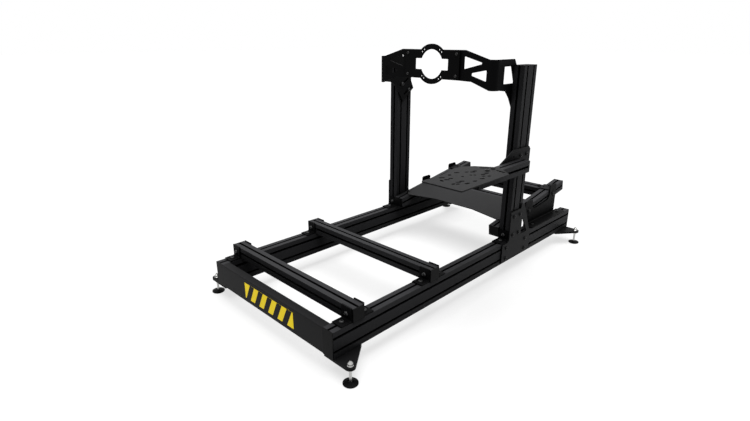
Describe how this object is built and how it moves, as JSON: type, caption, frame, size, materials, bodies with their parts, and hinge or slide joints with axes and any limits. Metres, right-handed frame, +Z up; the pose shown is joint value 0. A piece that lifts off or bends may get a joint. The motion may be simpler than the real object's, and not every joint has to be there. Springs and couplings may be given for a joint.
{
  "type": "sim racing cockpit",
  "caption": "Open sim racing frame of black slotted aluminium profiles with seat bars, two uprights, a wheel plate, a side shifter plate, a tilted pedal deck and levelling feet.",
  "frame": {"origin": "bottom centre of the whole cockpit, on the floor under its feet", "axes": "+Y from the seat end to the pedal end, the way the driver looks, +X to the driver's right, +Z up"},
  "size_m": [0.759, 1.3478, 0.8187],
  "materials": {
    "profile": "black anodised, fine matt",
    "cap": "black moulded plastic",
    "cover": "black powder coat with one yellow striped band",
    "plate": "black powder coat, fine matt",
    "bracket": "black powder coat",
    "tread": "dark grey powder coat, fine grain",
    "zinc": "bright zinc plate",
    "foot_pad": "black hard plastic with a rubber face"
  },
  "bodies": {
    "root": {"left_rail": "profile", "right_rail": "profile", "rear_seat_bar": "profile", "front_seat_bar": "profile", "left_upright": "profile", "right_upright": "profile", "shifter_beam": "profile", "left_deck_beam": "profile", "right_deck_beam": "profile", "heel_cross_beam": "profile", "toe_cross_beam": "profile", "rail_end_caps": "cap", "seat_bar_end_caps": "cap", "upright_top_caps": "cap", "shifter_beam_caps": "cap", "deck_beam_caps": "cap", "rear_cover": "cover", "foot_plates": "plate", "left_gusset": "plate", "right_gusset": "plate", "wheel_plate": "plate", "left_wheel_bracket": "plate", "right_wheel_bracket": "plate", "shifter_bracket": "plate", "left_deck_bracket": "plate", "right_deck_bracket": "plate", "deck_corner_plates": "plate", "rear_seat_bar_brackets": "bracket", "front_seat_bar_brackets": "bracket", "upright_foot_brackets": "bracket", "heel_plate": "tread", "shifter_plate": "tread", "foot_spindles": "zinc", "foot_discs": "foot_pad"}
  },
  "joints": []
}
